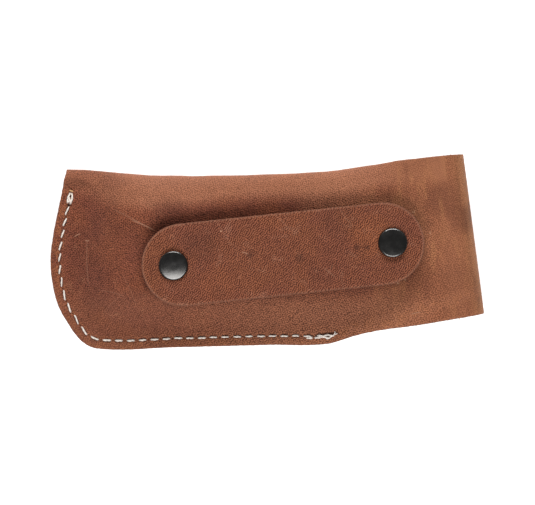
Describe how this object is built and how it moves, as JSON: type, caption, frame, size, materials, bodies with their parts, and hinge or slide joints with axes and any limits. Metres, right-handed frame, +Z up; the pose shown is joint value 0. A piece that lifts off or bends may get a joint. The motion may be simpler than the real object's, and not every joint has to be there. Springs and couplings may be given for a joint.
{
  "type": "leather belt sheath",
  "caption": "Folded leather belt sheath, stitched along its closed end and long edge, with a snap-down flap and a belt strap on snaps.",
  "frame": {"origin": "centre of the bounding box in plan, on the surface the sheath lies on", "axes": "+X from the closed end to the folded flap, +Y from the stitched edge to the folded edge, +Z up to the belt strap"},
  "size_m": [0.1837, 0.0824, 0.027],
  "materials": {
    "body_leather": "oiled full-grain, reddish brown, lighter where it bends",
    "strap_leather": "oiled full-grain, finer pebble, reddish brown",
    "thread": "waxed twisted thread, off-white",
    "snap_cap": "black plated, semi-gloss",
    "snap_metal": "gunmetal plated",
    "snap_spring": "bright spring wire"
  },
  "bodies": {
    "pouch": {"pouch_leather": "body_leather", "needle_thread": "thread", "bobbin_thread": "thread", "strap_tail": "strap_leather", "strap_right_cap": "snap_cap", "strap_right_socket": "snap_metal", "strap_right_spring": "snap_spring", "strap_right_stud": "snap_metal", "strap_right_post": "snap_metal", "strap_left_stud": "snap_metal", "strap_left_post": "snap_metal", "flap_stud": "snap_metal", "flap_post": "snap_metal"},
    "flap_upper_bend": {"flap_bend_upper": "body_leather"},
    "flap_lower_bend": {"flap_bend_lower": "body_leather"},
    "flap": {"flap_leather": "body_leather", "flap_cap": "snap_cap", "flap_socket": "snap_metal", "flap_spring": "snap_spring"},
    "strap_bend": {"strap_middle": "strap_leather"},
    "strap_end": {"strap_head": "strap_leather", "strap_left_cap": "snap_cap", "strap_left_socket": "snap_metal", "strap_left_spring": "snap_spring"}
  },
  "joints": [
    {"name": "flap_fold_upper", "type": "hinge", "parent": "pouch", "child": "flap_upper_bend", "pos_m": [0.08301, 0.00704, 0.01785], "axis": [0.1305, -0.9914, 0], "range_deg": [0, 60]},
    {"name": "flap_fold_middle", "type": "hinge", "parent": "flap_upper_bend", "child": "flap_lower_bend", "pos_m": [0.08725, 0.0076, 0.01045], "axis": [0.1305, -0.9914, 0], "range_deg": [0, 60]},
    {"name": "flap_fold_lower", "type": "hinge", "parent": "flap_lower_bend", "child": "flap", "pos_m": [0.08301, 0.00704, 0.00305], "axis": [0.1305, -0.9914, 0], "range_deg": [0, 60]},
    {"name": "strap_flex_right", "type": "hinge", "parent": "pouch", "child": "strap_bend", "pos_m": [0.0327, 0.00173, 0.02607], "axis": [-0.1045, 0.9945, 0], "range_deg": [0, 50]},
    {"name": "strap_flex_left", "type": "hinge", "parent": "strap_bend", "child": "strap_end", "pos_m": [0.00983, -0.00067, 0.0266], "axis": [-0.1045, 0.9945, 0], "range_deg": [0, 50]}
  ],
  "couplings": [
    {"joint": "flap_fold_upper", "follows": "flap_fold_lower", "ratio": 1},
    {"joint": "flap_fold_middle", "follows": "flap_fold_lower", "ratio": 1},
    {"joint": "strap_flex_left", "follows": "strap_flex_right", "ratio": 1}
  ]
}
